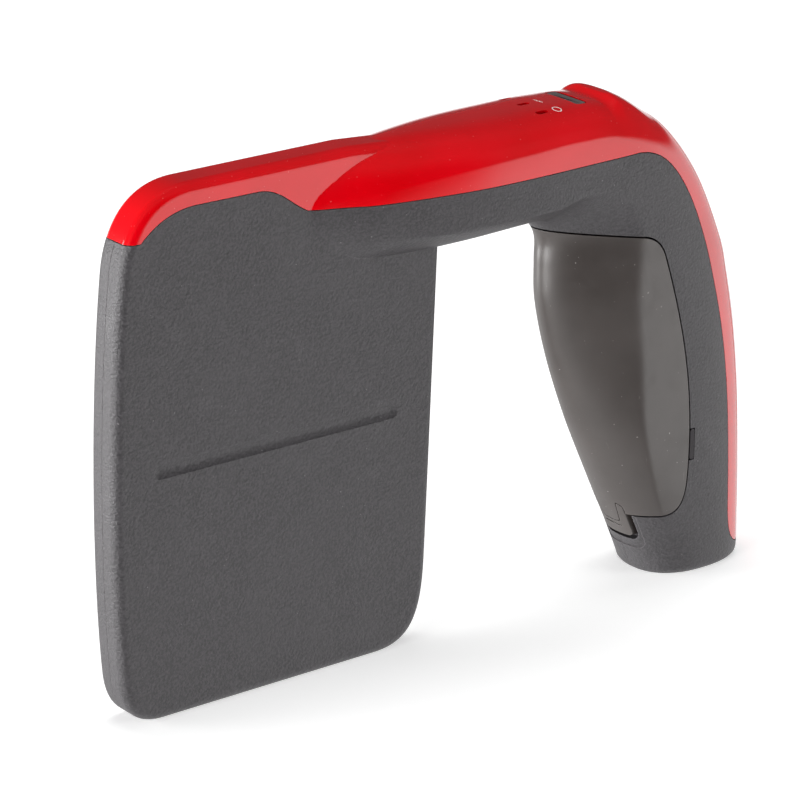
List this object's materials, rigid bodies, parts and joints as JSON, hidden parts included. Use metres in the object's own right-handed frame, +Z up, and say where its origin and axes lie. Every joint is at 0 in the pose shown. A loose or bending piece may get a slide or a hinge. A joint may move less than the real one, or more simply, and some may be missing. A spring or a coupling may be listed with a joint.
{
  "type": "handheld rfid reader",
  "caption": "Hand-held radio tag reader: a flat antenna paddle joined by an arm to a pistol grip, with a sprung scan key and a pull-out battery pack.",
  "frame": {"origin": "under the middle of the whole reader, on the surface that it stands on", "axes": "+X towards the front edge of the paddle, +Y towards the left side of the reader, +Z up"},
  "size_m": [0.2348, 0.0376, 0.1592],
  "materials": {
    "housing": "dark warm grey moulding with a fine spark-eroded grain",
    "cover": "high-gloss red moulding",
    "pack": "smooth matte warm grey moulding",
    "key": "glossy dark grey moulding",
    "lug": "dark grey moulding",
    "lens": "milky light pipe",
    "lamp": "small white lamp",
    "circuit": "green solder mask",
    "chip": "black epoxy package",
    "copper": "thin copper foil",
    "steel": "tin-plated or zinc-plated steel",
    "gold": "gold-plated contact",
    "cell": "blue shrink sleeve over a cell",
    "cable": "black sleeve",
    "foam": "grey closed-cell foam",
    "rubber": "black silicone rubber"
  },
  "bodies": {
    "reader": {"housing_left": "housing", "housing_right": "housing", "top_cover": "cover", "spine_inlay": "cover", "lamp_lens_1": "lens", "lamp_lens_2": "lens", "lamp_lens_3": "lens", "lamp_1": "lamp", "lamp_2": "lamp", "lamp_3": "lamp", "main_board": "circuit", "antenna_board": "circuit", "contact_board": "circuit", "key_switch": "chip", "radio_chip": "chip", "processor": "chip", "contact_block": "chip", "beeper": "chip", "antenna_loop": "copper", "radio_shield": "steel", "wireless_module": "steel", "feed_shield": "steel", "case_screw_1": "steel", "case_screw_2": "steel", "case_screw_3": "steel", "case_screw_4": "steel", "case_screw_5": "steel", "case_screw_6": "steel", "case_screw_7": "steel", "board_screw_1": "steel", "board_screw_2": "steel", "board_screw_3": "steel", "coax_socket": "gold", "feed_socket": "gold", "contact_pin_1": "gold", "contact_pin_2": "gold", "contact_pin_3": "gold", "contact_pin_4": "gold", "antenna_coax": "cable", "contact_cable": "cable", "spacer_foam": "foam", "key_seal": "rubber"},
    "battery_pack": {"battery_case": "pack", "battery_back_plate": "pack", "guide_lug_left": "lug", "guide_lug_right": "lug", "cell_rear": "cell", "cell_front": "cell", "pack_board": "circuit"},
    "battery_latch": {"battery_latch": "pack"},
    "scan_key": {"scan_key": "key"}
  },
  "joints": [
    {"name": "scan_key_press", "type": "slide", "parent": "reader", "child": "scan_key", "axis": [0, 0, -1], "range_m": [0, 0.0011], "stiffness_N_per_m": 900, "springref_m": -0.0008},
    {"name": "battery_pull", "type": "slide", "parent": "reader", "child": "battery_pack", "axis": [1, 0, 0], "range_m": [0, 0.038]},
    {"name": "battery_latch_press", "type": "slide", "parent": "battery_pack", "child": "battery_latch", "axis": [-1, 0, 0], "range_m": [0, 0.0011], "stiffness_N_per_m": 1500, "springref_m": -0.0008}
  ]
}
